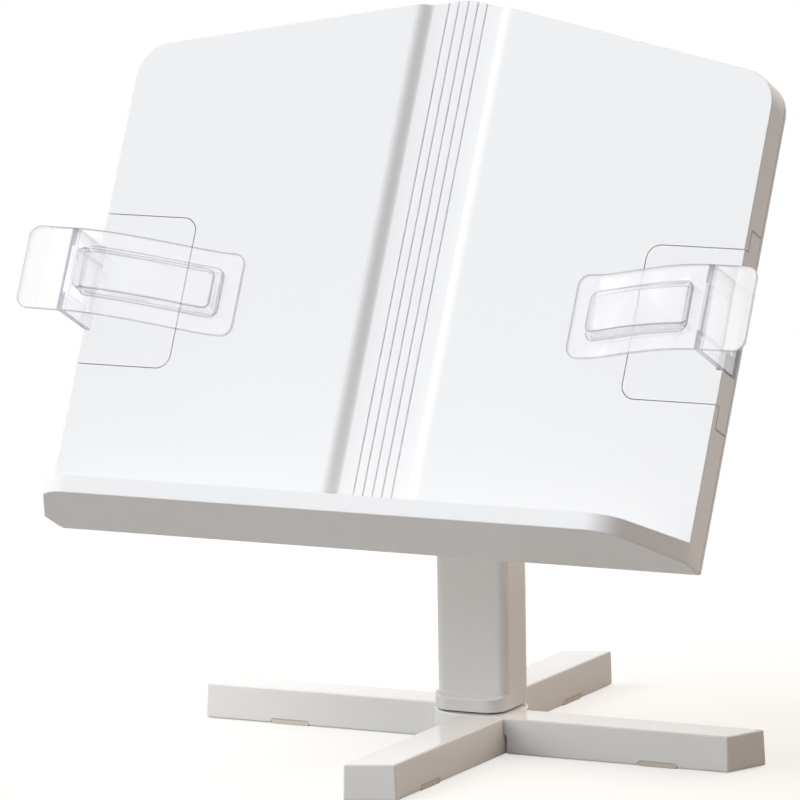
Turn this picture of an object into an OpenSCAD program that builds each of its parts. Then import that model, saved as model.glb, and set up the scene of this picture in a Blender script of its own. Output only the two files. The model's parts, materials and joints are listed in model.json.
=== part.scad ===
// Reading stand: a reclined board with a deep shelf and two clear page clips on
// pull-out slides, carried by a tilting, telescoping column on a folding cross base.
// The column axis is Z, the board faces -Y and the feet stand on Z = 0.

/* [Base] */
// Length of a leg from the column axis to its longer end edge
leg_reach = 165; // [130:0.5:200]
// Width of a leg
leg_w = 25; // [18:0.5:32]
// Height of a leg
leg_h = 19; // [14:0.5:26]
// How far the slanted end face runs back across a leg
leg_end_skew = 10; // [0:0.5:20]
// Draft of a leg's outer side and end, in degrees
leg_draft = 3; // [0:0.1:6]
// Distance of a leg's inner side from the column axis
leg_inner_gap = 0.5; // [0.3:0.1:1.5]
// Radius of the round lapped hub
hub_r = 25; // [22:0.5:36]
// Gap at the ends of the half-lap
lap_end_gap = 0.5; // [0.4:0.1:1.5]
// Gap between the two lapped layers
lap_face_gap = 0.4; // [0.2:0.1:1]
// Diameter of the pivot bolt
pivot_d = 8; // [6:1:10]
// Length of a rubber foot along the leg
foot_len = 22; // [12:1:40]
// Distance of a foot's middle from the column axis
foot_pos = 115; // [80:0.5:140]
// Depth of a foot's pocket
foot_seat = 2; // [1:0.1:4]
// How far the feet stand below the legs
foot_proud = 0.4; // [0.2:0.1:2]

/* [Column] */
// Width of the lower column
column_w = 41.5; // [38:0.5:50]
// Depth of the lower column at its collar
column_d = 43; // [40:0.5:52]
// Rounding of the lower column's corners
column_r = 11; // [4:0.5:14]
// Length of the lower column
lower_len = 169; // [140:1:220]
// Height of the collar at the foot of the column
collar_h = 7; // [4:0.5:20]
// Depth of the flat cut on the column's front, above the collar
front_cut = 9; // [4:0.5:10]
// Rise of the sloping ledge between the collar and the flat front
ledge_rise = 1.4; // [0.5:0.1:4]
// Rounding of the edges beside the flat front
front_edge_r = 5; // [1:0.1:6]
// Thickness of the floor inside the lower column
column_floor = 7; // [5:0.5:12]
// Width of the bore in the lower column
bore_w = 31; // [30:0.1:32]
// Depth of the bore in the lower column, front to back
bore_d = 27; // [26.5:0.1:28]
// Gap below the collar
swivel_gap = 0.8; // [0.5:0.1:1.5]
// Width of the upper column
mast_w = 26; // [23:0.5:27]
// Depth of the upper column, front to back
mast_d = 22; // [19:0.5:22.5]
// Wall of the upper column
mast_wall = 2.5; // [1.5:0.1:4]
// Length of the upper column that shows at rest
mast_out = 61; // [40:1:90]
// Length of the upper column inside the lower one at rest
mast_in = 119; // [100:1:130]
// Height that the upper column rises
lift = 60; // [20:1:70]
// Length of the guide sleeve inside the lower column
sleeve_len = 30; // [15:1:36]
// Thickness of the guide sleeve's top flange
sleeve_lip = 2.5; // [1.5:0.1:4]
// Length of the guide shoe on the upper column
shoe_len = 20; // [10:1:24]
// Diameter of the height knob
knob_d = 26; // [18:1:34]
// Length of the height knob
knob_len = 14; // [10:1:20]
// Distance of the height knob below the top of the lower column
knob_drop = 17; // [15:0.5:22]
// Diameter of the height knob's stud
stud_d = 6; // [4:1:8]

/* [Tilt hinge] */
// Height of the tilt axis above the upper column
head_rise = 25; // [18:0.5:40]
// Distance of the tilt axis in front of the column axis
head_lead = 14; // [8:0.5:18]
// Outer radius of the hinge knuckle and ears
knuckle_r = 11; // [9:0.5:14]
// Diameter of the tilt bolt
tilt_d = 8; // [6:1:10]
// Distance of the tilt axis behind the board's back
tilt_back = 29; // [24:0.5:45]
// Distance of the tilt axis above the shelf, along the board
tilt_up = 175; // [160:1:190]
// Thickness of a bracket ear
ear_t = 5; // [3:0.5:8]
// Thickness of a friction washer
friction_t = 1; // [0.6:0.1:2]
// Width of the bracket plate
plate_w = 90; // [80:1:110]
// Height of the bracket plate
plate_h = 70; // [60:1:80]
// Thickness of the bracket plate
plate_t = 4; // [3:0.5:6]

/* [Board] */
// Width of the board
board_w = 370; // [340:1:420]
// Height of the board's sides above the shelf
side_h = 254; // [235:1:300]
// Fall of the top edge from the middle to the sides, in degrees
top_slope = 11.1; // [4:0.1:16]
// Rounding of the top corners
corner_r = 20; // [8:1:30]
// Rounding of the peak
peak_r = 40; // [20:1:80]
// Lean of the board from upright, in degrees
recline = 26.7; // [10:0.1:40]
// Depth of the front shell
shell_t = 17.5; // [14:0.5:22]
// Wall of the front shell
shell_wall = 2.5; // [1.8:0.1:3.5]
// Thickness of the rear cover
cover_t = 2.5; // [2:0.1:4]
// Width of the spine channel between the wing edges
spine_w = 58; // [46:1:80]
// Width of the spine channel's floor
spine_floor_w = 39; // [30:1:44]
// Depth of the spine channel
spine_depth = 4.4; // [2:0.1:6]
// Number of fine grooves in the spine
groove_count = 5; // [1:1:7]
// Pitch of the grooves
groove_pitch = 5.5; // [4:0.1:5.8]
// Width of a groove
groove_w = 1; // [0.6:0.1:2]
// Depth of a groove
groove_depth = 0.8; // [0.4:0.1:1.4]

/* [Shelf] */
// Reach of the shelf in front of the board
shelf_depth = 51.5; // [30:0.5:70]
// Thickness of the shelf
shelf_t = 9; // [6:0.5:14]
// Width of the shelf along its front edge, before rounding
shelf_front_w = 322; // [280:1:340]
// Rounding of the shelf's front corners
shelf_corner_r = 19; // [6:1:26]
// How far the board's full width runs forward before the shelf draws in
shelf_step = 1; // [1:0.5:10]
// Rise of the shelf's top where it meets the board
shelf_rise_back = 2.5; // [1:0.1:5]
// Rise of the shelf's top at its front edge
shelf_rise_front = 0.5; // [0.2:0.1:3]

/* [Page slides] */
// Height of a slide's middle above the shelf
slide_v = 118; // [105:1:125]
// Height of the slide's tray
tray_h = 107; // [90:1:116]
// Length of the slide's tray
tray_len = 88; // [80:1:100]
// Height of the slide's front plate
face_h = 84; // [70:1:86]
// Length of the slide's front plate
face_len = 54.4; // [44:0.1:64]
// Rounding of the front plate's inner corners
face_r = 8; // [3:0.5:14]
// Thickness of the front plate, flush with the wing
face_t = 4.6; // [3.5:0.1:5.5]
// Gap round the slide
slide_gap = 0.45; // [0.3:0.05:0.8]
// How far a slide pulls out
slide_out = 45; // [20:1:50]

/* [Page clips] */
// Width of a clip along the board
clip_w = 45.6; // [36:0.2:56]
// Reach of the clip's arm over the page
clip_reach = 87; // [60:1:100]
// Height of the clip's arm above the wing at its wall
clip_h = 31.5; // [22:0.5:40]
// Height of the arm's middle line at its tip
clip_tip_h = 2.2; // [1.8:0.1:4]
// Thickness of the arm
arm_t = 2.2; // [1.6:0.1:3]
// Thickness of the clip's wall
wall_t = 3.5; // [2.8:0.1:5]
// Thickness of the wall's web between its thick ends
web_t = 1.8; // [1.2:0.1:2.4]
// Length of a thick end of the wall
wall_end = 10; // [6:0.5:14]
// Reach of the thumb tab outside the wall
tab_reach = 24.5; // [16:0.5:36]
// Rise of the thumb tab at its end
tab_flare = 1; // [0:0.5:12]
// Rounding of the clip's corners
clip_corner_r = 6.5; // [3:0.5:10]
// Width of the raised pad on the arm
pad_w = 27; // [14:1:32]
// Height of the raised pad
pad_h = 6; // [2:0.1:8]
// Diameter of the clip's hinge pin
pin_d = 3; // [2:0.5:3.5]
// Depth of the clip's hinge pin behind the wing's face
pin_depth = 8; // [7.5:0.1:8.5]
// Outer radius of the clip's hinge knuckles
clip_knuckle_r = 4.2; // [3.4:0.1:4.4]
// Wire of the clip's torsion spring
spring_wire = 1; // [0.6:0.1:1.1]
// Turns of the torsion spring
spring_turns = 7; // [4:1:9]

/* [Fasteners] */
// Diameter of the cover screws
cover_screw_d = 3; // [2.5:0.5:4]
// Length of the cover screws
cover_screw_len = 10; // [8:1:12]
// Diameter of the bracket screws
bracket_screw_d = 4; // [3:0.5:5]
// Length of the bracket screws
bracket_screw_len = 15; // [12:1:16]
// Radial clearance of a running fit
run_fit = 0.07; // [0.03:0.01:0.1]
// Radial clearance of a fixed fit
fixed_fit = 0.05; // [0.02:0.01:0.1]
// Clearance between sliding faces
slide_fit = 0.3; // [0.2:0.05:0.5]

/* [Hidden] */
$fn = 64;
// Small overlap for clean cuts
eps = 0.1;
// Segments in a rounded outline corner
corner_steps = 10;

// Levels of the base
leg_z0 = foot_proud;
leg_z1 = leg_z0 + leg_h;
lap_mid = leg_z0 + leg_h / 2;
lap_low_top = lap_mid - lap_face_gap / 2;
lap_high_bottom = lap_mid + lap_face_gap / 2;
leg_outer = leg_inner_gap + leg_w;
leg_side_run = leg_h * tan(leg_draft);
leg_foot_outer = leg_outer + leg_side_run;
high_arm_start = max(hub_r, leg_foot_outer) + lap_end_gap;
low_arm_start = max(hub_r, leg_outer + leg_side_run / 2) + lap_end_gap;
foot_inset = 0.2;
bolt_head_d = pivot_d * 1.75;
bolt_head_h = pivot_d * 0.5;
hub_foot_d = bolt_head_d + 6;
hub_foot_t = foot_proud + 1.2;
head_recess_z = hub_foot_t + 0.3 + bolt_head_h + eps;
lap_washer_d = 30;
lap_washer_seat = 0.8;
washer_bore = pivot_d + 1;
swivel_washer_d = 34;
nut_gap = 0.1;
nut_h = pivot_d * 0.8;
nut_af = pivot_d * 1.625;
bolt_tail = 1.5;

// Levels of the column
column_z0 = leg_z1 + swivel_gap;
column_z1 = column_z0 + lower_len;
bore_z0 = column_z0 + column_floor;
mast_z1 = column_z1 + mast_out;
mast_z0 = column_z1 - mast_in;
mast_r = 5;
bore_r = mast_r + (bore_w - mast_w) / 2;
post_y0 = -column_d / 2 + front_cut;
post_y = (post_y0 + column_d / 2) / 2;
mast_back = post_y + mast_d / 2;
mast_front = post_y - mast_d / 2;
sleeve_inset = 1.5;
knob_z = column_z1 - knob_drop;
insert_d = stud_d + 3;
insert_len = column_d / 2 - post_y - bore_d / 2;
stud_tip = mast_back + 0.2;
knob_y0 = column_d / 2 + slide_fit;
knob_lobes = 12;
knob_lobe_r = 2;
head_plug_len = 22;

// Tilt axis and the board's own frame: x across, y up the board, z out of its face
pivot_y = -head_lead;
pivot_z = mast_z1 + head_rise;
board_t = shell_t + cover_t;
pivot_w = -board_t - tilt_back;
board_y = pivot_y - tilt_up * sin(recline) + pivot_w * cos(recline);
board_z = pivot_z - tilt_up * cos(recline) - pivot_w * sin(recline);
head_half = mast_w / 2;
ear_in = head_half + friction_t;
ear_out = ear_in + ear_t;
ear_foot = 24;
washer_play = 0.05;
friction_d = 20;
tilt_head_d = 13;
tilt_head_h = 4.5;
tilt_nut_h = 6.5;
bracket_hole_u = plate_w / 2 - 10;
bracket_hole_v = plate_h / 2 - 10;
bracket_post_d = bracket_screw_d + 6;
bracket_spots = [for (su = [-1, 1], sv = [-1, 1]) [su * bracket_hole_u, tilt_up + sv * bracket_hole_v]];
pan_d = bracket_screw_d * 1.8;
pan_h = bracket_screw_d * 0.65;

// Cover screws round the board's edge
cover_inset = 14;
cover_post_d = cover_screw_d + 5;
cover_head_d = cover_screw_d * 1.9;
cover_head_h = cover_screw_d * 0.5;
cover_top_v = side_h - corner_r - 6;
cover_mid_u = 70;
cover_spots = [
  for (s = [-1, 1]) each [
    [s * (board_w / 2 - cover_inset), cover_inset],
    [s * (board_w / 2 - cover_inset), cover_top_v],
    [s * cover_mid_u, cover_inset],
    [s * cover_mid_u, side_h]
  ]
];

// Page slides and clips, on the right side
half_w = board_w / 2;
tray_v0 = slide_v - tray_h / 2;
tray_v1 = slide_v + tray_h / 2;
face_v0 = slide_v - face_h / 2;
face_v1 = slide_v + face_h / 2;
tray_u0 = half_w - tray_len;
face_u0 = half_w - face_len;
tray_wall = 2.5;
rail_w = 3;
housing_u0 = tray_u0 - rail_w - 2;
tray_back = -shell_t + slide_fit;
tray_front = -face_t - slide_fit;
clip_v0 = slide_v - clip_w / 2;
clip_v1 = slide_v + clip_w / 2;
clip_gap = 0.6;
pocket_front = 2.2;
wall_out = half_w + 0.5;
wall_in = wall_out - wall_t;
web_in = wall_out - web_t;
pin_u = wall_in - 2;
pin_w = -pin_depth;
pocket_u0 = pin_u - clip_knuckle_r - 1.6;
wall_bottom = pin_w - clip_knuckle_r + 0.2;
pin_hold = 5;
tip_u = wall_in + wall_t / 2 - clip_reach;
arm_flat = 7;
arm_ease = 0.25;
arm_power = 1.6;
tab_u = wall_out + tab_reach;
pad_u0 = tip_u + 10;
pad_u1 = wall_in - 6.5;
pad_wall = 2;
pad_r = 5;
spring_r = pin_d / 2 + 0.45 + spring_wire / 2;
spring_pitch = spring_wire + 0.6;
curve_steps = 28;

// Rounded outlines
function unit(p) = p / norm(p);
function arc_corner(a, b, c, r) =
  let (
    u = unit(a - b),
    v = unit(c - b),
    half = acos(u * v) / 2,
    start = b + u * r / tan(half),
    stop = b + v * r / tan(half),
    mid = b + unit(u + v) * r / sin(half),
    a0 = atan2(start.y - mid.y, start.x - mid.x),
    a1 = atan2(stop.y - mid.y, stop.x - mid.x),
    turn = (a1 - a0) - 360 * round((a1 - a0) / 360)
  )
  [for (i = [0:corner_steps]) let (a = a0 + turn * i / corner_steps) mid + r * [cos(a), sin(a)]];
function rounded(points, radii) =
  let (n = len(points))
  [
    for (i = [0:n - 1])
      each radii[i] > 0
        ? arc_corner(points[(i + n - 1) % n], points[i], points[(i + 1) % n], radii[i])
        : [points[i]]
  ];
function box_outline(w, d, r) =
  rounded([[-w / 2, -d / 2], [w / 2, -d / 2], [w / 2, d / 2], [-w / 2, d / 2]], [r, r, r, r]);
// Where a line from p touches a circle, on the side given by the sign
function touch_point(centre, r, p, side) =
  let (d = p - centre, a = atan2(d.y, d.x) + side * acos(r / norm(d)))
  centre + r * [cos(a), sin(a)];

// Outline of the board, drawn in by an inset
function board_outline(inset) =
  let (
    u = half_w - inset,
    top = side_h + (inset * sin(top_slope) - inset) / cos(top_slope),
    peak = side_h + half_w * tan(top_slope) - inset / cos(top_slope),
    foot = -shelf_t + inset
  )
  rounded(
    [[-u, foot], [u, foot], [u, top], [0, peak], [-u, top]],
    [1.5, 1.5, max(corner_r - inset, 2), peak_r, max(corner_r - inset, 2)]
  );

// Section of the spine channel: a fall from each wing, steeper near the flat floor
function spine_fall(t) = -spine_depth * (1 - cos(180 * pow(t, 1.5))) / 2;
function spine_side(sign) =
  [
    for (i = [0:8])
      let (t = i / 8)
      [sign * (spine_w / 2 - t * (spine_w - spine_floor_w) / 2), spine_fall(t)]
  ];
function reversed(list) = [for (i = [len(list) - 1:-1:0]) list[i]];

// Plan of the shelf, seen along the board
shelf_outline = rounded(
  [
    [-half_w, -shell_t], [half_w, -shell_t], [half_w, shelf_step],
    [shelf_front_w / 2, shelf_depth], [-shelf_front_w / 2, shelf_depth], [-half_w, shelf_step]
  ],
  [0, 0, 0, shelf_corner_r, shelf_corner_r, 0]
);

// Middle line of a clip: flat tip, a rising arm, and the thumb tab beyond the wall
function arm_line(u) =
  let (
    t = min(max((u - tip_u - arm_flat) / (wall_in - tip_u - arm_flat), 0), 1),
    climb = t * t * (1 + arm_ease) / (t + arm_ease),
    s = max((u - wall_out) / tab_reach, 0)
  )
  clip_tip_h + (clip_h - clip_tip_h) * (1 - pow(max(1 - climb, 0), arm_power)) + tab_flare * s * s;
function arm_edge(u, offset) =
  let (step = 0.5, slope = (arm_line(u + step) - arm_line(u - step)) / (2 * step), n = norm([1, slope]))
  [u - slope * offset / n, arm_line(u) + offset / n];
function arm_band(u0, u1, low, high) = concat(
  [for (i = [0:curve_steps]) arm_edge(u0 + (u1 - u0) * i / curve_steps, low)],
  [for (i = [curve_steps:-1:0]) arm_edge(u0 + (u1 - u0) * i / curve_steps, high)]
);

// Ring of a tube of six sides swept along a coil
function coil_point(turn, r, pitch) = [r * cos(360 * turn), r * sin(360 * turn), pitch * turn];
function coil_ring(turn, r, pitch, wire) =
  let (c = coil_point(turn, r, pitch), out = [cos(360 * turn), sin(360 * turn), 0])
  [for (k = [0:5]) c + wire / 2 * (out * cos(60 * k) + [0, 0, 1] * sin(60 * k))];

// Extrusions along the X axis and up the board
module along_x(x0, x1) translate([x0, 0, 0]) rotate([90, 0, 90]) linear_extrude(x1 - x0) children();
module along_y(y0, y1) translate([0, y1, 0]) rotate([90, 0, 0]) linear_extrude(y1 - y0) children();
module rise(z0, z1) translate([0, 0, z0]) linear_extrude(z1 - z0) children();
module rod(d, z0, z1) translate([0, 0, z0]) cylinder(d = d, h = z1 - z0);
module rod_x(d, x0, x1) translate([x0, 0, 0]) rotate([0, 90, 0]) cylinder(d = d, h = x1 - x0);
module rod_y(d, y0, y1) translate([0, y1, 0]) rotate([90, 0, 0]) cylinder(d = d, h = y1 - y0);
module in_board() translate([0, board_y, board_z]) rotate([90 - recline, 0, 0]) children();
module on_left() mirror([1, 0, 0]) children();
module fold_side() mirror([1, 1, 0]) children();

// Base
module leg_arm(start, z0, z1) intersection() {
  along_x(start, leg_reach + 2 * leg_side_run) polygon([
    [-leg_inner_gap, leg_z0], [-leg_inner_gap, leg_z1], [-leg_outer, leg_z1], [-leg_foot_outer, leg_z0]
  ]);
  translate([leg_reach, -leg_inner_gap, leg_z1])
    rotate([0, 0, -atan(leg_end_skew / leg_w)])
    rotate([0, -leg_draft, 0])
    translate([-2 * leg_reach, -leg_reach, -leg_reach])
    cube([2 * leg_reach, 2 * leg_reach, 2 * leg_reach]);
  rise(z0, z1) translate([0, -leg_reach]) square([2 * leg_reach, 2 * leg_reach]);
}
module leg_bar(arm_start, lap_z0, lap_z1) difference() {
  union() {
    for (a = [0, 180]) rotate(a) {
      leg_arm(arm_start, leg_z0, leg_z1);
      leg_arm(0, lap_z0, lap_z1);
    }
    rod(2 * hub_r, lap_z0, lap_z1);
  }
  for (a = [0, 180]) rotate(a)
    translate([foot_pos - foot_len / 2, -leg_foot_outer - eps, leg_z0 - eps])
      cube([foot_len, leg_w + leg_side_run + 2 * eps, foot_seat + eps]);
}
module leg_feet() for (a = [0, 180]) rotate(a)
  translate([foot_pos - foot_len / 2 + fixed_fit, -leg_foot_outer + foot_inset, 0])
    cube([foot_len - 2 * fixed_fit, leg_w + leg_side_run - 2 * foot_inset, foot_seat + foot_proud]);
module upper_leg() color("white") difference() {
  leg_bar(high_arm_start, lap_high_bottom, leg_z1);
  rod(pivot_d + 2 * fixed_fit, lap_high_bottom - eps, leg_z1 + eps);
}
module lower_leg() color("white") difference() {
  fold_side() leg_bar(low_arm_start, leg_z0, lap_low_top);
  rod(pivot_d + 2 * run_fit, leg_z0 - eps, lap_low_top + eps);
  rod(bolt_head_d + 1, leg_z0 - eps, head_recess_z);
  rod(hub_foot_d + 2 * fixed_fit, leg_z0 - eps, hub_foot_t);
  rod(lap_washer_d + 2 * fixed_fit, lap_low_top - lap_washer_seat, lap_low_top + eps);
}
module upper_leg_feet() color("tan") leg_feet();
module lower_leg_feet() color("tan") fold_side() leg_feet();
module hub_foot() color("tan") rod(hub_foot_d, 0, hub_foot_t);
module lap_washer() color("ivory") difference() {
  rod(lap_washer_d, lap_low_top - lap_washer_seat, lap_high_bottom);
  rod(washer_bore, leg_z0, leg_z1);
}
module swivel_washer() color("ivory") difference() {
  rod(swivel_washer_d, leg_z1, column_z0);
  rod(washer_bore, leg_z0, column_z1);
}
module pivot_bolt() color("silver") {
  rod(bolt_head_d, head_recess_z - bolt_head_h - eps, head_recess_z - eps);
  rod(pivot_d, head_recess_z - 2 * eps, bore_z0 + nut_gap + nut_h + bolt_tail);
}
module pivot_nut() color("silver") difference() {
  translate([0, 0, bore_z0 + nut_gap]) cylinder(d = nut_af / cos(30), h = nut_h, $fn = 6);
  rod(pivot_d + 2 * fixed_fit, bore_z0, bore_z0 + nut_h + bolt_tail);
}

// Column
module at_post() translate([0, post_y, 0]) children();
module post_outline(inset) polygon(
  rounded(
    [
      [-column_w / 2 + inset, post_y0 + inset], [column_w / 2 - inset, post_y0 + inset],
      [column_w / 2 - inset, column_d / 2 - inset], [-column_w / 2 + inset, column_d / 2 - inset]
    ],
    [front_edge_r, front_edge_r, column_r - inset, column_r - inset]
  )
);
module lower_column() color("white") difference() {
  union() {
    rise(column_z0, column_z1) post_outline(0);
    difference() {
      rise(column_z0, column_z0 + collar_h + ledge_rise) polygon(box_outline(column_w, column_d, column_r));
      along_x(-column_w, column_w) polygon([
        [-column_d, column_z0 + collar_h],
        [-column_d / 2, column_z0 + collar_h],
        [post_y0, column_z0 + collar_h + ledge_rise],
        [post_y0, column_z1],
        [-column_d, column_z1]
      ]);
    }
  }
  at_post() rise(bore_z0, column_z1 + eps) polygon(box_outline(bore_w, bore_d, bore_r));
  rod(pivot_d + 2 * run_fit, column_z0 - eps, bore_z0 + eps);
  translate([0, 0, knob_z]) rod_y(insert_d + 2 * fixed_fit, post_y, column_d);
}
module guide_sleeve() color("white") difference() {
  union() {
    at_post() rise(column_z1 - sleeve_len, column_z1 + eps)
      polygon(box_outline(bore_w - 2 * fixed_fit, bore_d - 2 * fixed_fit, bore_r - fixed_fit));
    rise(column_z1, column_z1 + sleeve_lip) post_outline(sleeve_inset);
  }
  at_post() rise(column_z1 - sleeve_len - eps, column_z1 + sleeve_lip + eps)
    polygon(box_outline(mast_w + 2 * slide_fit, mast_d + 2 * slide_fit, mast_r + slide_fit));
  translate([0, 0, knob_z]) rod_y(insert_d + 2 * fixed_fit, post_y, column_d);
}
module thread_insert() color("goldenrod") translate([0, 0, knob_z]) difference() {
  rod_y(insert_d, column_d / 2 - insert_len, column_d / 2);
  rod_y(stud_d + 2 * run_fit, post_y, column_d);
}
module height_knob() color("whitesmoke") translate([0, 0, knob_z]) {
  difference() {
    rod_y(knob_d, knob_y0, knob_y0 + knob_len);
    for (i = [0:knob_lobes - 1]) rotate([0, i * 360 / knob_lobes, 0])
      translate([knob_d / 2 + knob_lobe_r / 3, 0, 0])
      rod_y(2 * knob_lobe_r, knob_y0 + 2, knob_y0 + knob_len + eps);
  }
  rod_y(stud_d, stud_tip, knob_y0 + eps);
}
module mast_hole(inset, r) polygon(box_outline(mast_w - 2 * inset, mast_d - 2 * inset, r));
module upper_column() color("white") at_post() difference() {
  rise(mast_z0, mast_z1) mast_hole(0, mast_r);
  rise(mast_z0 - eps, mast_z1 + eps) mast_hole(mast_wall, mast_r - mast_wall);
}
module guide_shoe() color("ivory") at_post() difference() {
  rise(mast_z0, mast_z0 + shoe_len)
    polygon(box_outline(bore_w - 2 * slide_fit, bore_d - 2 * slide_fit, bore_r - slide_fit));
  rise(mast_z0 - eps, mast_z0 + shoe_len + eps) mast_hole(-fixed_fit, mast_r + fixed_fit);
}
module hinge_head() color("white") {
  axis = [pivot_y, pivot_z];
  front = [mast_front, mast_z1];
  back = [mast_back, mast_z1];
  shoulder = [mast_back, mast_z1 + mast_r];
  at_post() rise(mast_z1 - head_plug_len, mast_z1 + eps)
    mast_hole(mast_wall + fixed_fit, mast_r - mast_wall);
  difference() {
    along_x(-head_half, head_half) {
      polygon([
        front, back, shoulder, touch_point(axis, knuckle_r, shoulder, 1), axis,
        touch_point(axis, knuckle_r, front, -1)
      ]);
      translate(axis) circle(r = knuckle_r);
    }
    translate([0, pivot_y, pivot_z]) rod_x(tilt_d + 2 * run_fit, -mast_w, mast_w);
  }
}

// Tilt bracket and its fasteners
module at_tilt_axis() in_board() translate([0, tilt_up, pivot_w]) children();
module bracket_ear(u0) along_x(u0, u0 + ear_t) {
  axis = [tilt_up, pivot_w];
  low = [tilt_up - ear_foot, -board_t - plate_t / 2];
  high = [tilt_up + ear_foot, -board_t - plate_t / 2];
  polygon([low, high, touch_point(axis, knuckle_r, high, -1), axis, touch_point(axis, knuckle_r, low, 1)]);
  translate(axis) circle(r = knuckle_r);
}
module tilt_bracket() color("white") difference() {
  in_board() {
    translate([0, tilt_up, 0]) rise(-board_t - plate_t, -board_t) polygon(box_outline(plate_w, plate_h, 8));
    bracket_ear(ear_in);
    bracket_ear(-ear_out);
  }
  at_tilt_axis() rod_x(tilt_d + 2 * fixed_fit, -plate_w, plate_w);
  in_board() for (p = bracket_spots) translate(p)
    rod(bracket_screw_d + 2 * fixed_fit, -board_t - 2 * plate_t, 0);
}
module tilt_bolt() color("silver") at_tilt_axis() {
  rod_x(tilt_d, -ear_out - eps, ear_out + tilt_nut_h + bolt_tail);
  rod_x(tilt_head_d, -ear_out - tilt_head_h, -ear_out);
}
module tilt_nut() color("silver") at_tilt_axis() difference() {
  translate([ear_out, 0, 0]) rotate([0, 90, 0])
    cylinder(d = tilt_head_d / cos(30), h = tilt_nut_h, $fn = 6);
  rod_x(tilt_d + 2 * fixed_fit, 0, plate_w);
}
module friction_washers() color("dimgray") at_tilt_axis() for (s = [0, 1]) mirror([s, 0, 0]) difference() {
  rod_x(friction_d, head_half + washer_play, ear_in - washer_play);
  rod_x(tilt_d + 2 * run_fit, 0, plate_w);
}
module bracket_screws() color("silver") in_board() for (p = bracket_spots) translate(p) {
  rod(pan_d, -board_t - plate_t - pan_h, -board_t - plate_t);
  rod(bracket_screw_d, -board_t - plate_t - eps, -board_t - plate_t + bracket_screw_len);
}

// Board
module slide_housing() {
  rise(-shell_t, 0) translate([housing_u0, tray_v0 - rail_w])
    square([half_w - housing_u0, tray_h + 2 * rail_w]);
}
module slide_cuts() {
  rise(-shell_t - eps, -face_t) translate([tray_u0 - slide_gap, tray_v0])
    square([tray_len + slide_gap + 1, tray_h]);
  rise(-face_t - eps, eps) polygon(
    rounded(
      [[face_u0, face_v0], [half_w + 1, face_v0], [half_w + 1, face_v1], [face_u0, face_v1]],
      [face_r, 0, 0, face_r]
    )
  );
}
module shell_cavity() difference() {
  rise(-shell_t - eps, -shell_wall) intersection() {
    polygon(board_outline(shell_wall));
    translate([-half_w, 0]) square([board_w, board_w]);
  }
  rise(-shell_t, 0) intersection() {
    translate([-spine_w / 2 - shell_wall, 0]) square([spine_w + 2 * shell_wall, board_w]);
    polygon(board_outline(shell_wall));
  }
  slide_housing();
  on_left() slide_housing();
  for (p = bracket_spots) translate(p) rod(bracket_post_d, -shell_t, 0);
  for (p = cover_spots) translate(p) rod(cover_post_d, -shell_t, 0);
}
module spine_hollow() difference() {
  rise(-shell_t - eps, -spine_depth - shell_wall) intersection() {
    translate([-spine_w / 2, 0]) square([spine_w, board_w]);
    polygon(board_outline(shell_wall));
  }
  for (p = bracket_spots) translate(p) rod(bracket_post_d, -shell_t, 0);
}
module shelf_top() intersection() {
  along_x(-half_w, half_w) polygon([
    [-eps, -1], [shelf_rise_back, -1], [shelf_rise_back, 0],
    [shelf_rise_front, shelf_depth], [-eps, shelf_depth]
  ]);
  along_y(-eps, shelf_rise_back + eps) polygon(shelf_outline);
}
module front_shell() color("white") in_board() difference() {
  union() {
    rise(-shell_t, 0) polygon(board_outline(0));
    along_y(-shelf_t, 0) polygon(shelf_outline);
    shelf_top();
  }
  shell_cavity();
  spine_hollow();
  along_y(shelf_rise_back, board_w) polygon(concat(
    [[-spine_w / 2, eps]], spine_side(-1), reversed(spine_side(1)), [[spine_w / 2, eps]]
  ));
  translate([-groove_w / 2, shelf_rise_back, -spine_depth - groove_depth])
    for (i = [0:groove_count - 1])
      translate([(i - (groove_count - 1) / 2) * groove_pitch, 0, 0])
        cube([groove_w, board_w, groove_depth + eps]);
  slide_cuts();
  on_left() slide_cuts();
  for (p = bracket_spots) translate(p)
    rod(bracket_screw_d + 2 * fixed_fit, -shell_t - eps, -board_t - plate_t + bracket_screw_len + 0.5);
  for (p = cover_spots) translate(p)
    rod(cover_screw_d + 2 * fixed_fit, -shell_t - eps, -board_t + cover_screw_len + 0.5);
}
module rear_cover() color("white") in_board() difference() {
  rise(-board_t, -shell_t) polygon(board_outline(0));
  for (p = bracket_spots) translate(p) rod(bracket_screw_d + 2 * fixed_fit, -board_t - eps, 0);
  for (p = cover_spots) translate(p) {
    rod(cover_screw_d + 2 * fixed_fit, -board_t - eps, 0);
    translate([0, 0, -board_t - eps])
      cylinder(
        d1 = cover_head_d + 4 * fixed_fit + 2 * eps,
        d2 = cover_screw_d,
        h = cover_head_h + 2 * fixed_fit + eps
      );
  }
}
module cover_screws() color("silver") in_board() for (p = cover_spots) translate(p) {
  translate([0, 0, -board_t]) cylinder(d1 = cover_head_d, d2 = cover_screw_d, h = cover_head_h);
  rod(cover_screw_d, -board_t + cover_head_h - eps, -board_t + cover_screw_len);
}

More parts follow.
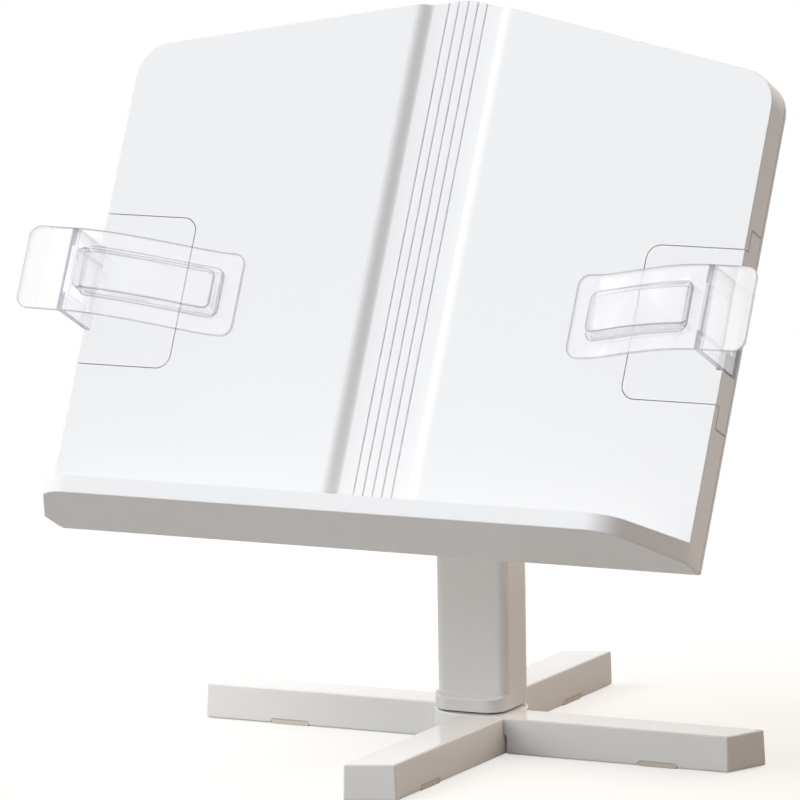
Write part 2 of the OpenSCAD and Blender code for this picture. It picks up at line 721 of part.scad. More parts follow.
// Page slides
module slider() in_board() difference() {
  union() {
    rise(tray_back, tray_front)
      translate([tray_u0, tray_v0 + slide_gap]) square([tray_len, tray_h - 2 * slide_gap]);
    rise(tray_front - eps, 0) polygon(
      rounded(
        [
          [face_u0 + slide_gap, face_v0 + slide_gap], [half_w, face_v0 + slide_gap],
          [half_w, face_v1 - slide_gap], [face_u0 + slide_gap, face_v1 - slide_gap]
        ],
        [face_r - slide_gap, 0, 0, face_r - slide_gap]
      )
    );
  }
  rise(tray_back - eps, tray_front - tray_wall)
    translate([tray_u0 + tray_wall, tray_v0 + slide_gap + tray_wall])
    square([pocket_u0 - tray_u0 - 2 * tray_wall, tray_h - 2 * slide_gap - 2 * tray_wall]);
  rise(tray_back - eps, -pocket_front) translate([pocket_u0, clip_v0 - clip_gap])
    square([half_w - pocket_u0 + 1, clip_w + 2 * clip_gap]);
  rise(-pocket_front - eps, eps) translate([wall_in - clip_gap, clip_v0 - clip_gap])
    square([half_w - wall_in + 1, clip_w + 2 * clip_gap]);
  translate([pin_u, 0, pin_w]) rod_y(pin_d + 2 * fixed_fit, clip_v0 - pin_hold, clip_v1 + pin_hold);
}
module clip_pin() in_board() translate([pin_u, 0, pin_w])
  rod_y(pin_d, clip_v0 - pin_hold, clip_v1 + pin_hold);
spring_points = [for (i = [0:8 * spring_turns]) coil_point(i / 8, spring_r, spring_pitch)];
echo(spring_gap = min([
  for (i = [0:8 * spring_turns], j = [0:8 * spring_turns])
    if (j > i + 5) norm(spring_points[i] - spring_points[j]) - spring_wire
]));
module clip_spring() in_board() translate([pin_u, slide_v, pin_w]) rotate([90, 0, 0]) {
  rings = spring_turns * 8;
  points = [
    for (i = [0:rings]) each coil_ring(i / 8 - spring_turns / 2, spring_r, spring_pitch, spring_wire)
  ];
  sides = [
    for (i = [0:rings - 1], k = [0:5]) let (a = 6 * i + k, b = 6 * i + (k + 1) % 6)
      each [[a, b, b + 6], [a, b + 6, a + 6]]
  ];
  ends = [
    for (k = [1:4]) each [[0, k + 1, k], [6 * rings, 6 * rings + k, 6 * rings + k + 1]]
  ];
  polyhedron(points, concat(sides, ends));
}
module left_slider() color("white") on_left() slider();
module right_slider() color("white") slider();
module left_clip_pin() color("silver") on_left() clip_pin();
module right_clip_pin() color("silver") clip_pin();
module left_clip_spring() color("silver") on_left() clip_spring();
module right_clip_spring() color("silver") clip_spring();

// Page clips
module clip_arm() intersection() {
  along_y(clip_v0, clip_v1) polygon(arm_band(tip_u, tab_u, -arm_t / 2, arm_t / 2));
  rise(-clip_h, 2 * clip_h) translate([(tip_u + tab_u) / 2, slide_v])
    polygon(box_outline(tab_u - tip_u, clip_w, clip_corner_r));
}
module pad_form(inset, low, high) intersection() {
  along_y(clip_v0, clip_v1) polygon(arm_band(pad_u0 + inset, pad_u1 - inset, low, high));
  rise(-clip_h, 2 * clip_h) translate([(pad_u0 + pad_u1) / 2, slide_v])
    polygon(box_outline(pad_u1 - pad_u0 - 2 * inset, pad_w - 2 * inset, pad_r - inset));
}
module clip() in_board() difference() {
  union() {
    clip_arm();
    pad_form(0, 0, arm_t / 2 + pad_h);
    rise(wall_bottom, clip_h) translate([wall_in, clip_v0]) square([wall_t, clip_w]);
    for (v = [clip_v0, clip_v1 - wall_end]) {
      translate([pin_u, 0, pin_w]) rod_y(2 * clip_knuckle_r, v, v + wall_end);
      rise(pin_w, pin_w + clip_knuckle_r / 2) translate([pin_u, v]) square([wall_out - pin_u, wall_end]);
    }
  }
  pad_form(pad_wall, -arm_t, pad_h - arm_t / 2);
  rise(wall_bottom - eps, clip_h - 4) translate([wall_in - eps, clip_v0 + wall_end])
    square([wall_t - web_t + eps, clip_w - 2 * wall_end]);
  translate([pin_u, 0, pin_w]) rod_y(pin_d + 2 * run_fit, clip_v0 - eps, clip_v1 + eps);
}
module left_clip() color("lavender", 0.5) on_left() clip();
module right_clip() color("lavender", 0.5) clip();

upper_leg();
lower_leg();
upper_leg_feet();
lower_leg_feet();
hub_foot();
pivot_bolt();
pivot_nut();
lap_washer();
swivel_washer();
lower_column();
guide_sleeve();
thread_insert();
height_knob();
upper_column();
guide_shoe();
hinge_head();
tilt_bracket();
tilt_bolt();
tilt_nut();
friction_washers();
bracket_screws();
front_shell();
rear_cover();
cover_screws();
left_slider();
right_slider();
left_clip();
right_clip();
left_clip_pin();
right_clip_pin();
left_clip_spring();
right_clip_spring();
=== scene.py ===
"""Studio scene of a reading stand: white moulded plastic, clear page clips and rubber feet."""

import json
import math

import bmesh
import bpy
from mathutils import Matrix, Vector


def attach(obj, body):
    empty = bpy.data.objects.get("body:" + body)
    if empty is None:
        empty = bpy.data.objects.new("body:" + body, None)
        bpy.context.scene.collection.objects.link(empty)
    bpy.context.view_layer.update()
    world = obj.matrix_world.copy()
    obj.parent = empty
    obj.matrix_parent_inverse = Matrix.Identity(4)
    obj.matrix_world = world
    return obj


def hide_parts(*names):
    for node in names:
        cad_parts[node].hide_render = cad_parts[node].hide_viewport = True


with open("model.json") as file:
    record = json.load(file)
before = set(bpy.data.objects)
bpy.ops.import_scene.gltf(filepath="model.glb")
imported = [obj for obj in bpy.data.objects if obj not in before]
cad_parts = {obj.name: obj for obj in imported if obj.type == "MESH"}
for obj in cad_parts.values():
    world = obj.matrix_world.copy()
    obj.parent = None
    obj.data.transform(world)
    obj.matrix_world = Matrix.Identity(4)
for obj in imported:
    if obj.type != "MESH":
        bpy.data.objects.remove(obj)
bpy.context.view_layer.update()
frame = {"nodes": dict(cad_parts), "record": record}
NODES = frame["nodes"]

BODY_OF = {}
for body_name, members in frame["record"]["behaviour"]["bodies"].items():
    for member in members:
        BODY_OF[member] = body_name


# Materials
def new_material(name):
    material = bpy.data.materials.new(name)
    material.use_nodes = True
    tree = material.node_tree
    return material, tree, tree.nodes["Principled BSDF"]


def noise(tree, coords, scale, detail=2.0, rough=0.5):
    node = tree.nodes.new("ShaderNodeTexNoise")
    node.inputs["Scale"].default_value = scale
    node.inputs["Detail"].default_value = detail
    node.inputs["Roughness"].default_value = rough
    tree.links.new(coords.outputs["Object"], node.inputs["Vector"])
    return node


def spread(tree, source, low, high, from_low=0.3, from_high=0.7):
    node = tree.nodes.new("ShaderNodeMapRange")
    node.inputs["From Min"].default_value = from_low
    node.inputs["From Max"].default_value = from_high
    node.inputs["To Min"].default_value = low
    node.inputs["To Max"].default_value = high
    tree.links.new(source, node.inputs["Value"])
    return node


def tint(tree, source, dark, light):
    node = tree.nodes.new("ShaderNodeMix")
    node.data_type = "RGBA"
    node.inputs["A"].default_value = (*dark, 1)
    node.inputs["B"].default_value = (*light, 1)
    tree.links.new(source, node.inputs["Factor"])
    return node.outputs["Result"]


def either(tree, *sources):
    value = sources[0]
    for source in sources[1:]:
        node = tree.nodes.new("ShaderNodeMath")
        node.operation = "MAXIMUM"
        tree.links.new(value, node.inputs[0])
        tree.links.new(source, node.inputs[1])
        value = node.outputs["Value"]
    return value


def moulded(name, dark, light, rough, grain_scale, grain_depth, specular=0.5):
    """Moulded surface: faint tone drift, uneven gloss and a fine grain."""
    material, tree, shader = new_material(name)
    coords = tree.nodes.new("ShaderNodeTexCoord")
    drift = noise(tree, coords, 9.0, 3.0)
    tree.links.new(tint(tree, drift.outputs["Fac"], dark, light), shader.inputs["Base Color"])
    gloss = noise(tree, coords, 25.0, 2.0)
    tree.links.new(spread(tree, gloss.outputs["Fac"], *rough).outputs["Result"], shader.inputs["Roughness"])
    grain = noise(tree, coords, grain_scale, 2.0, 0.6)
    bump = tree.nodes.new("ShaderNodeBump")
    bump.inputs["Strength"].default_value = 0.12
    bump.inputs["Distance"].default_value = grain_depth
    tree.links.new(grain.outputs["Fac"], bump.inputs["Height"])
    tree.links.new(bump.outputs["Normal"], shader.inputs["Normal"])
    shader.inputs["Specular IOR Level"].default_value = specular
    return material


def brushed(name, dark, light, rough, stretch):
    """Turned or drawn metal: streaks along one axis."""
    material, tree, shader = new_material(name)
    coords = tree.nodes.new("ShaderNodeTexCoord")
    mapping = tree.nodes.new("ShaderNodeMapping")
    mapping.inputs["Scale"].default_value = stretch
    tree.links.new(coords.outputs["Object"], mapping.inputs["Vector"])
    streak = tree.nodes.new("ShaderNodeTexNoise")
    streak.inputs["Scale"].default_value = 400.0
    streak.inputs["Detail"].default_value = 3.0
    tree.links.new(mapping.outputs["Vector"], streak.inputs["Vector"])
    streaks = streak.outputs["Fac"]
    tree.links.new(tint(tree, streaks, dark, light), shader.inputs["Base Color"])
    tree.links.new(spread(tree, streaks, *rough).outputs["Result"], shader.inputs["Roughness"])
    shader.inputs["Metallic"].default_value = 1.0
    return material


def facing_curve(tree, from_low, from_high, low, high, power):
    """A value that grows as the surface turns away from the eye, the same on both of its sides."""
    turned = tree.nodes.new("ShaderNodeLayerWeight")
    turned.inputs["Blend"].default_value = 0.5
    ramp = spread(tree, turned.outputs["Facing"], 0.0, 1.0, from_low, from_high)
    curve = tree.nodes.new("ShaderNodeMath")
    curve.operation = "POWER"
    curve.inputs[1].default_value = power
    tree.links.new(ramp.outputs["Result"], curve.inputs[0])
    return spread(tree, curve.outputs["Value"], low, high, 0.0, 1.0).outputs["Result"]


def clear_plastic(name, depth, shine, all_over=False):
    """Clear acrylic: seen straight through, glossy where it turns away, and tinted by its depth.
    With all_over the tint covers every face, which paints shade on faces that look dark.
    """
    material, tree, shader = new_material(name)
    coords = tree.nodes.new("ShaderNodeTexCoord")
    smear = noise(tree, coords, 45.0, 3.0)
    smooth = spread(tree, smear.outputs["Fac"], 0.01, 0.04).outputs["Result"]
    tree.links.new(smooth, shader.inputs["Roughness"])
    shader.inputs["Base Color"].default_value = (0.99, 0.99, 1.0, 1)
    shader.inputs["Transmission Weight"].default_value = 1.0
    shader.inputs["IOR"].default_value = 1.49
    through = tree.nodes.new("ShaderNodeBsdfTransparent")
    # all_over: one dark tint on every face, painted shade
    if all_over:
        through.inputs["Color"].default_value = (*depth, 1)
    else:
        tinted = tint(tree, facing_curve(tree, 0.2, 0.85, 0.0, 1.0, 1.0), (1.0, 1.0, 1.0), depth)
        tree.links.new(tinted, through.inputs["Color"])
    gloss = tree.nodes.new("ShaderNodeBsdfGlossy")
    gloss.inputs["Color"].default_value = (0.99, 0.99, 1.0, 1)
    tree.links.new(smooth, gloss.inputs["Roughness"])
    skin = tree.nodes.new("ShaderNodeMixShader")
    power = 5.0 if all_over else 2.0
    tree.links.new(facing_curve(tree, 0.0, 1.0, shine, 1.0, power), skin.inputs["Fac"])
    tree.links.new(through.outputs["BSDF"], skin.inputs[1])
    tree.links.new(gloss.outputs["BSDF"], skin.inputs[2])
    body = tree.nodes.new("ShaderNodeMixShader")
    body.inputs["Fac"].default_value = 0.2
    tree.links.new(skin.outputs["Shader"], body.inputs[1])
    tree.links.new(shader.outputs["BSDF"], body.inputs[2])
    lamps = tree.nodes.new("ShaderNodeLightPath")
    clear = tree.nodes.new("ShaderNodeBsdfTransparent")
    clear.inputs["Color"].default_value = (0.992, 0.992, 0.993, 1)
    mix = tree.nodes.new("ShaderNodeMixShader")
    lit = either(tree, lamps.outputs["Is Shadow Ray"], lamps.outputs["Is Diffuse Ray"])
    tree.links.new(lit, mix.inputs["Fac"])
    tree.links.new(body.outputs["Shader"], mix.inputs[1])
    tree.links.new(clear.outputs["BSDF"], mix.inputs[2])
    tree.links.new(mix.outputs["Shader"], tree.nodes["Material Output"].inputs["Surface"])
    return material


WHITE = moulded(
    "white_panel", (0.862, 0.866, 0.87), (0.876, 0.88, 0.884), (0.38, 0.42), 1400.0, 0.00001
)
WHITE_LEG = moulded(
    "white_legs", (0.884, 0.882, 0.878), (0.896, 0.894, 0.89), (0.07, 0.1), 1800.0, 0.00003
)
# The column's parts: the panel's white plastic, coloured darker to paint the shade that the board casts on
# them
SHADED_WHITE_POST = moulded(
    "white_post_painted_shade", (0.81, 0.808, 0.802), (0.822, 0.82, 0.814), (0.13, 0.16), 1800.0, 0.00003
)
KNOB = moulded("white_knob", (0.83, 0.83, 0.82), (0.86, 0.86, 0.85), (0.36, 0.48), 1500.0, 0.00003)
NYLON = moulded("nylon", (0.74, 0.72, 0.66), (0.79, 0.77, 0.71), (0.45, 0.58), 900.0, 0.00003)
RUBBER = moulded(
    "foot_rubber", (0.72, 0.65, 0.575), (0.78, 0.71, 0.635), (0.68, 0.82), 700.0, 0.00006, 0.3
)
# The nylon swivel washer, coloured near black to paint the shade in the gap under the collar
GAP_SHADE_NYLON = moulded(
    "nylon_painted_gap_shade", (0.06, 0.045, 0.035), (0.085, 0.065, 0.05), (0.5, 0.6), 900.0, 0.00003
)
FIBRE = moulded(
    "fibre", (0.035, 0.035, 0.036), (0.06, 0.06, 0.06), (0.7, 0.85), 800.0, 0.00006, 0.3
)
STEEL = brushed("steel", (0.50, 0.50, 0.51), (0.63, 0.63, 0.64), (0.24, 0.4), (1, 1, 0.15))
BRASS = brushed("brass", (0.62, 0.45, 0.19), (0.76, 0.58, 0.28), (0.26, 0.4), (1, 0.15, 1))
CLEAR = clear_plastic("clear_plastic", (0.95, 0.95, 0.96), 0.13)
# Painted shade: a dark tint for the rim faces, bends and rounded edges, where clear plastic looks dark
CLEAR_PAINTED_EDGE_SHADE = clear_plastic("clear_plastic_painted_edge_shade", (0.56, 0.555, 0.605), 0.06, True)
# Painted sheen: a near-mirror gloss for the tab's outer half
CLEAR_PAINTED_SHEEN = clear_plastic("clear_plastic_painted_sheen", (0.95, 0.95, 0.97), 0.62)

FINISH = {
    "white_plastic": WHITE,
    "clear_plastic": CLEAR,
    "foot_rubber": RUBBER,
    "steel": STEEL,
    "brass": BRASS,
    "nylon": NYLON,
    "fibre": FIBRE,
}
SLOT_OF = {entry["node"]: entry["material_slot"] for entry in frame["record"]["subparts"]}
# Finishes that replace a part's slot; the column's parts and the swivel washer carry painted shade
SPECIAL = {
    "upper_leg": WHITE_LEG,
    "lower_leg": WHITE_LEG,
    "lower_column": SHADED_WHITE_POST,
    "upper_column": SHADED_WHITE_POST,
    "hinge_head": SHADED_WHITE_POST,
    "guide_sleeve": SHADED_WHITE_POST,
    "height_knob": KNOB,
    "swivel_washer": GAP_SHADE_NYLON,
}


def finish_of(node):
    return SPECIAL.get(node, FINISH[SLOT_OF[node]])


for node, obj in NODES.items():
    obj.data.materials.clear()
    obj.data.materials.append(finish_of(node))


# Softened copies of the moulded pieces: welded, flat faces joined, sharp edges rounded as far
# as the faces beside them leave room. Lengths are in metres
SHARP = math.radians(32)
FLAT = math.radians(0.6)
NARROW_CORNER = math.radians(60)
WELD_GAP = 0.000002
SHORT_EDGE = 0.0005
NO_LENGTH = 0.0000005
ROOM_SHARE = 0.42
CORNER_SHARE = 0.4
LEAST_ROUNDING = 0.15


def is_sharp(edge):
    return len(edge.link_faces) == 2 and edge.calc_face_angle(0.0) > SHARP


def room_beside(loop):
    """How far a face reaches in from the middle of one of its edges, up to the next sharp edge."""
    start = loop.vert.co
    along = (loop.link_loop_next.vert.co - start).normalized()
    inward = loop.face.normal.cross(along)
    middle = (start + loop.link_loop_next.vert.co) / 2
    room = 1.0
    for other in loop.face.loops:
        if other is loop or not is_sharp(other.edge):
            continue
        p = other.vert.co - middle
        q = other.link_loop_next.vert.co - middle
        sp = p.dot(along)
        sq = q.dot(along)
        if sp * sq > 0 or abs(sp - sq) < 1e-9:
            continue
        depth = p.dot(inward) + (q.dot(inward) - p.dot(inward)) * sp / (sp - sq)
        if depth > 1e-6:
            room = min(room, depth)
    return room


def join_short_edges(bm, limit):
    """Pull a point that lies close beside a corner into that corner."""
    target = {}
    for edge in bm.edges:
        if edge.calc_length() > limit or not is_sharp(edge):
            continue
        first, second = edge.verts
        if sum(is_sharp(e) for e in first.link_edges) < 3:
            first, second = second, first
        if sum(is_sharp(e) for e in first.link_edges) < 3 or first in target or second in target:
            continue
        if second not in target.values():
            target[second] = first
    bmesh.ops.weld_verts(bm, targetmap=target)
    bmesh.ops.dissolve_degenerate(bm, dist=NO_LENGTH, edges=bm.edges)
    return len(target)


def softened(node, radius, segments=3, reshape=None):
    source = NODES[node]
    mesh = source.data.copy()
    mesh.name = node + "_moulded"
    mesh.materials.clear()
    mesh.materials.append(finish_of(node))
    # Clear pieces also carry the painted edge shade and the painted sheen materials
    if finish_of(node) is CLEAR:
        mesh.materials.append(CLEAR_PAINTED_EDGE_SHADE)
        mesh.materials.append(CLEAR_PAINTED_SHEEN)
    bm = bmesh.new()
    bm.from_mesh(mesh)
    bmesh.ops.remove_doubles(bm, verts=bm.verts, dist=WELD_GAP)
    bmesh.ops.dissolve_limit(
        bm, angle_limit=FLAT, verts=bm.verts, edges=bm.edges, use_dissolve_boundaries=False
    )
    bm.normal_update()
    while join_short_edges(bm, SHORT_EDGE):
        bm.normal_update()
    weight = bm.edges.layers.float.new("bevel_weight_edge")
    for edge in bm.edges:
        if is_sharp(edge):
            room = min(room_beside(loop) for loop in edge.link_loops)
            edge[weight] = min(1.0, ROOM_SHARE * room / radius)
    for face in bm.faces:
        face.smooth = True
        for loop in face.loops:
            pair = (loop.edge, loop.link_loop_prev.edge)
            if loop.calc_angle() < NARROW_CORNER and all(is_sharp(edge) for edge in pair):
                reach = min(edge.calc_length() for edge in pair) * math.tan(loop.calc_angle() / 2)
                for edge in pair:
                    edge[weight] = min(edge[weight], CORNER_SHARE * reach / radius)
    for edge in bm.edges:
        if edge[weight] < LEAST_ROUNDING:
            edge[weight] = 0.0
    if reshape:
        reshape(bm)
    bm.to_mesh(mesh)
    bm.free()
    piece = bpy.data.objects.new(node + "_moulded", mesh)
    bpy.context.scene.collection.objects.link(piece)
    bevel = piece.modifiers.new("edges", "BEVEL")
    bevel.width = radius
    bevel.segments = segments
    bevel.limit_method = "WEIGHT"
    bevel.use_clamp_overlap = False
    bevel.miter_outer = "MITER_ARC"
    # The rounded edges of clear pieces take the painted edge shade
    if finish_of(node) is CLEAR:
        bevel.material = 1
    normals = piece.modifiers.new("normals", "WEIGHTED_NORMAL")
    normals.mode = "FACE_AREA"
    normals.weight = 80
    normals.keep_sharp = True
    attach(piece, BODY_OF[node])
    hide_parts(node)
    return piece


# The board's own frame, and the sizes of a clip in it: u across, v up and w out of the panel
BOARD_FOOT = Vector((0, -0.136406, 0.140877))
RECLINE = math.radians(26.7)
BOARD_UP = Vector((0, math.sin(RECLINE), math.cos(RECLINE)))
BOARD_OUT = Vector((0, -math.cos(RECLINE), math.sin(RECLINE)))
SLIDE_V = 0.118
ARM_START = 0.10375
WALL_IN = 0.182
WALL_MID = 0.1837
WALL_OUT = 0.1855
# Where the painted sheen on the tab's outer half begins
PAINTED_SHEEN_FROM = 0.1985
WALL_END = 0.01
TIP_H = 0.0022
ARM_H = 0.0315
# How far the painted edge shade reaches: the bend's depth and the rim's band and ends
BEND_DEPTH = 0.006
RIM_DEPTH = 0.004
RIM_TIP = 0.104
RIM_TAB = 0.2
CUT_GAP = 0.00004
CUT_WELD = 0.00001


def arm_line(u):
    t = min(max((u - ARM_START) / (WALL_IN - ARM_START), 0), 1)
    climb = t * t * 1.25 / (t + 0.25)
    return TIP_H + (ARM_H - TIP_H) * (1 - max(1 - climb, 0) ** 1.6)


def arm_point(u, offset):
    slope = (arm_line(u + 0.0005) - arm_line(u - 0.0005)) / 0.001
    length = math.hypot(1, slope)
    return u - slope * offset / length, arm_line(u) + offset / length


def clip_form(bm):
    """Lean the pad's sides in, and give painted shade to what looks dark in clear plastic: the narrow
    faces round the rim, and the bend where the wall joins, broad at both ends of the wall. The tab's
    outer half gets a painted sheen."""
    tapered_pad(bm)
    half = max(abs((vert.co - BOARD_FOOT).dot(BOARD_UP) - SLIDE_V) for vert in bm.verts)
    wall_lines = (WALL_IN, WALL_MID, WALL_OUT, PAINTED_SHEEN_FROM)
    cuts = [(Vector((1, 0, 0)), sign * u) for sign in (-1, 1) for u in wall_lines]
    cuts += [(BOARD_UP, SLIDE_V + sign * (half - WALL_END)) for sign in (-1, 1)]
    for across, offset in cuts:
        parts = bm.verts[:] + bm.edges[:] + bm.faces[:]
        on_plane = BOARD_FOOT + across * offset
        bmesh.ops.bisect_plane(bm, geom=parts, dist=CUT_GAP, plane_co=on_plane, plane_no=across)
    bmesh.ops.dissolve_degenerate(bm, dist=CUT_WELD, edges=bm.edges)
    bm.normal_update()
    for face in bm.faces:
        spot = face.calc_center_median() - BOARD_FOOT
        u = abs(spot.x)
        from_middle = abs(spot.dot(BOARD_UP) - SLIDE_V)
        outward = face.normal.dot(BOARD_OUT)
        inner = WALL_IN if from_middle > half - WALL_END else WALL_MID
        bend = inner < u < WALL_OUT and spot.dot(BOARD_OUT) > ARM_H - BEND_DEPTH
        edge_on = from_middle > half - RIM_DEPTH or u > RIM_TAB or u < RIM_TIP
        # Painted shade on the edge-on rim faces and on the bend; painted sheen on the tab's outer half
        dark = edge_on and abs(outward) < 0.5 or bend and outward > 0.5
        tab = u > PAINTED_SHEEN_FROM and abs(outward) > 0.5
        face.material_index = 1 if dark else 2 if tab else 0


# The mouth of a slide's recess, and how far its edges are rounded beside the others
SLOT_U = (0.11, 0.186)
SLOT_V = (0.075, 0.161)
SLOT_ROUNDING = 0.3


def crisp_slots(bm):
    """Keep the mouth of each slide's recess crisp, so that the seam stays thin."""
    weight = bm.edges.layers.float["bevel_weight_edge"]
    for edge in bm.edges:
        spot = (edge.verts[0].co + edge.verts[1].co) / 2 - BOARD_FOOT
        in_slot = SLOT_U[0] < abs(spot.x) < SLOT_U[1] and SLOT_V[0] < spot.dot(BOARD_UP) < SLOT_V[1]
        if in_slot and edge[weight] > 0:
            edge[weight] = min(edge[weight], SLOT_ROUNDING)


# The raised pad of a clip: each level above the arm's line, with the share of its half width and
# of its half length by which its sides and ends lean in
PAD_MIDDLE = 0.14125
PAD_HALF_W = 0.0137
PAD_U = (0.105, 0.177)
PAD_LEVELS = ((0.0071, 0.2, 0.075), (0.0049, 0.15, 0.055))
PAD_GAP = 0.0004
STATION_START = 0.1
STATION_STEP = 0.0005
STATION_COUNT = 165


def tapered_pad(bm):
    stations = [STATION_START + STATION_STEP * i for i in range(STATION_COUNT)]
    for level, sides, ends in PAD_LEVELS:
        curve = [arm_point(u, level) for u in stations]
        for vert in bm.verts:
            local = vert.co - BOARD_FOOT
            u = abs(local.x)
            v = local.dot(BOARD_UP)
            w = local.dot(BOARD_OUT)
            gaps = [math.hypot(u - p[0], w - p[1]) for p in curve]
            nearest = gaps.index(min(gaps))
            station = stations[nearest]
            on_level = gaps[nearest] <= PAD_GAP and abs(v - SLIDE_V) <= PAD_HALF_W
            if not on_level or not PAD_U[0] < station < PAD_U[1]:
                continue
            start = arm_point(station, level)
            stop = arm_point(station + (PAD_MIDDLE - station) * ends, level)
            vert.co += BOARD_UP * (SLIDE_V - v) * sides
            vert.co.x += math.copysign(stop[0] - start[0], local.x)
            vert.co += BOARD_OUT * (stop[1] - start[1])


# The collar of the lower column: where its ledge grows narrow on the right, and the band of its rim
LEDGE_ENDS = ((0.02021, -0.0139, 0.02838), (0.01575, -0.0125, 0.0286))
RIM_Z = (0.027, 0.029)
LEDGE_Z = 0.0284
RIM_Y = -0.0074
LEDGE_Y = -0.0139
INNER_ROUNDING = 0.3


def collar_tips(bm):
    """End the rounding of the collar's rim where its ledge grows narrow beside the post's corners."""
    bm.verts.ensure_lookup_table()
    weight = bm.edges.layers.float["bevel_weight_edge"]
    for side in (1, -1):
        ends = []
        for x, y, z in LEDGE_ENDS:
            spot = Vector((side * x, y, z))
            ends.append(min(bm.verts, key=lambda vert: (vert.co - spot).length))
        bmesh.ops.connect_verts(bm, verts=ends)
    for edge in bm.edges:
        middle = (edge.verts[0].co + edge.verts[1].co) / 2
        if not RIM_Z[0] < middle.z < RIM_Z[1] or middle.y > RIM_Y or not is_sharp(edge):
            continue
        if edge.calc_face_angle_signed() < 0:
            edge[weight] = INNER_ROUNDING if middle.z > LEDGE_Z else edge[weight]
        else:
            edge[weight] = 1.0 if middle.y < LEDGE_Y else 0.0


RESHAPE = {
    "left_clip": clip_form,
    "right_clip": clip_form,
    "lower_column": collar_tips,
    "front_shell": crisp_slots,
}
SOFT_EDGES = {
    "front_shell": 0.0006,
    "rear_cover": 0.0004,
    "left_slider": 0.00025,
    "right_slider": 0.00025,
    "left_clip": 0.0004,
    "right_clip": 0.0004,
    "upper_leg": 0.001,
    "lower_leg": 0.001,
    "lower_column": 0.0008,
    "guide_sleeve": 0.0005,
    "upper_column": 0.0004,
    "hinge_head": 0.0008,
    "tilt_bracket": 0.0006,
    "height_knob": 0.0005,
    "upper_leg_feet": 0.0003,
    "lower_leg_feet": 0.0003,
    "hub_foot": 0.0003,
    "pivot_bolt": 0.0003,
    "tilt_bolt": 0.0004,
    "tilt_nut": 0.0004,
    "bracket_screws": 0.0004,
}
for node, radius in SOFT_EDGES.items():
    softened(node, radius, reshape=RESHAPE.get(node))


# Camera, as fitted to the photograph
camera = bpy.data.objects.new("camera", bpy.data.cameras.new("camera"))
bpy.context.scene.collection.objects.link(camera)
camera.data.sensor_width = 36.0
camera.data.lens = 392.51
right = Vector((0.896124, 0.443556, -0.014803)).normalized()
up = Vector((-0.059179, 0.152485, 0.986532))
up = (up - right * up.dot(right)).normalized()
back = right.cross(up)
place = Vector((1.99444, -4.09637, 0.93725))
camera.matrix_world = Matrix.Translation(place) @ Matrix((right, up, back)).transposed().to_4x4()
camera.data.clip_end = 60.0
bpy.context.scene.camera = camera


# Stage: a pale floor that the camera sees as white, with the stand's shadow on it
FLOOR_HALF = 0.5
FLOOR_LIFT = 0.58
floor_mesh = bpy.data.meshes.new("floor")
floor_corners = [(x * FLOOR_HALF, y * FLOOR_HALF, 0) for x, y in ((-1, -1), (1, -1), (1, 1), (-1, 1))]
floor_mesh.from_pydata(floor_corners, [], [(0, 1, 2, 3)])
floor = bpy.data.objects.new("floor", floor_mesh)
bpy.context.scene.collection.objects.link(floor)
floor_material, tree, shader = new_material("pale_floor")
shader.inputs["Base Color"].default_value = (0.45, 0.435, 0.415, 1)
shader.inputs["Roughness"].default_value = 0.9
shader.inputs["Specular IOR Level"].default_value = 0.0
shader.inputs["Emission Color"].default_value = (1, 1, 1, 1)
path = tree.nodes.new("ShaderNodeLightPath")
seen = either(tree, path.outputs["Is Camera Ray"], path.outputs["Is Transmission Ray"])
lift = tree.nodes.new("ShaderNodeMath")
lift.operation = "MULTIPLY"
lift.inputs[1].default_value = FLOOR_LIFT
tree.links.new(seen, lift.inputs[0])
tree.links.new(lift.outputs["Value"], shader.inputs["Emission Strength"])
floor_mesh.materials.append(floor_material)

# World: white to the camera and to reflections, and a soft sky for the object, brightest
# from above on the left and from the front
world = bpy.data.worlds.new("studio")
bpy.context.scene.world = world
world.use_nodes = True
tree = world.node_tree
coords = tree.nodes.new("ShaderNodeTexCoord")


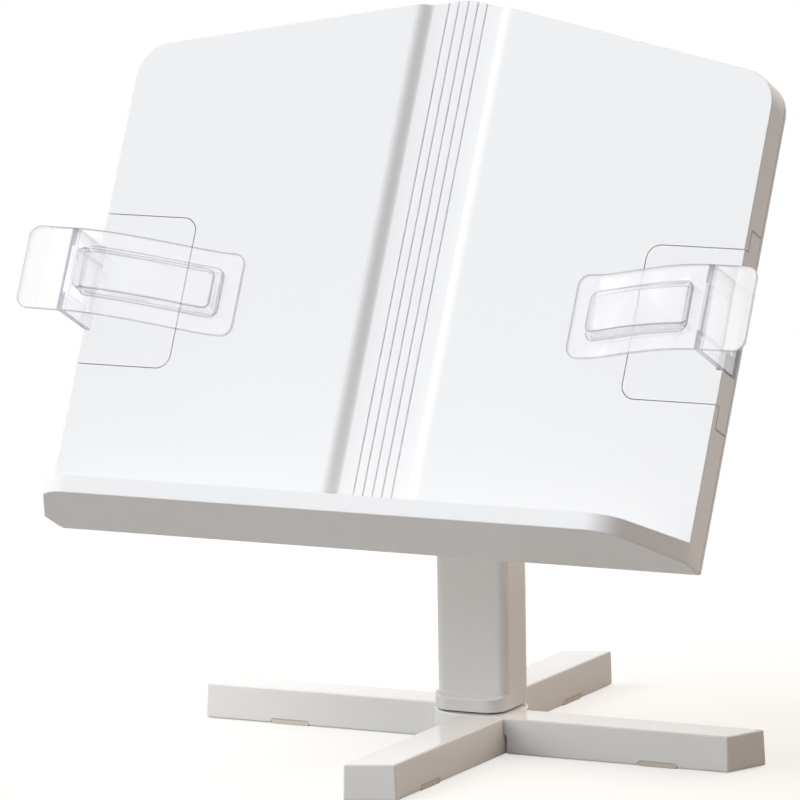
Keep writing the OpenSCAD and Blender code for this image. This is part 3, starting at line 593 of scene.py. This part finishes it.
def sky_lobe(direction, power, colour):
    facing = tree.nodes.new("ShaderNodeVectorMath")
    facing.operation = "DOT_PRODUCT"
    facing.inputs[1].default_value = Vector(direction).normalized()
    tree.links.new(coords.outputs["Generated"], facing.inputs[0])
    ahead = tree.nodes.new("ShaderNodeMath")
    ahead.operation = "MAXIMUM"
    ahead.inputs[1].default_value = 0.0
    tree.links.new(facing.outputs["Value"], ahead.inputs[0])
    falloff = tree.nodes.new("ShaderNodeMath")
    falloff.operation = "POWER"
    falloff.inputs[1].default_value = power
    tree.links.new(ahead.outputs["Value"], falloff.inputs[0])
    lobe = tree.nodes.new("ShaderNodeVectorMath")
    lobe.operation = "SCALE"
    lobe.inputs[0].default_value = colour
    tree.links.new(falloff.outputs["Value"], lobe.inputs["Scale"])
    return lobe.outputs["Vector"]


# Each lobe of the sky: where it lies, how narrow it is, and its colour
LOBES = (
    ((-0.542, -0.542, 0.643), 8.0, (4.77, 4.85, 5.0)),
    ((0.542, 0.542, 0.643), 8.0, (1.9, 1.48, 1.14)),
    ((0, 0.766, 0.643), 8.0, (0.98, 1.06, 1.14)),
    ((0, 0.99, 0.14), 8.0, (2.3, 2.2, 2.1)),
    ((-0.7, -0.7, 0.14), 8.0, (0.42, 0.41, 0.28)),
    ((0, -0.906, -0.423), 8.0, (1.0, 1.0, 1.14)),
)
glow = None
for direction, power, colour in LOBES:
    lobe = sky_lobe(direction, power, colour)
    if glow is None:
        glow = lobe
        continue
    total = tree.nodes.new("ShaderNodeVectorMath")
    total.operation = "ADD"
    tree.links.new(glow, total.inputs[0])
    tree.links.new(lobe, total.inputs[1])
    glow = total.outputs["Vector"]
sky = tree.nodes["Background"]
sky.inputs["Strength"].default_value = 1.0
tree.links.new(glow, sky.inputs["Color"])
white = tree.nodes.new("ShaderNodeBackground")
white.inputs["Color"].default_value = (1, 1, 1, 1)
white.inputs["Strength"].default_value = 1.0
path = tree.nodes.new("ShaderNodeLightPath")
seen = either(
    tree, path.outputs["Is Camera Ray"], path.outputs["Is Glossy Ray"], path.outputs["Is Transmission Ray"]
)
mix = tree.nodes.new("ShaderNodeMixShader")
tree.links.new(seen, mix.inputs["Fac"])
tree.links.new(sky.outputs["Background"], mix.inputs[1])
tree.links.new(white.outputs["Background"], mix.inputs[2])
tree.links.new(mix.outputs["Shader"], tree.nodes["World Output"].inputs["Surface"])

bpy.context.scene.view_settings.view_transform = "Standard"
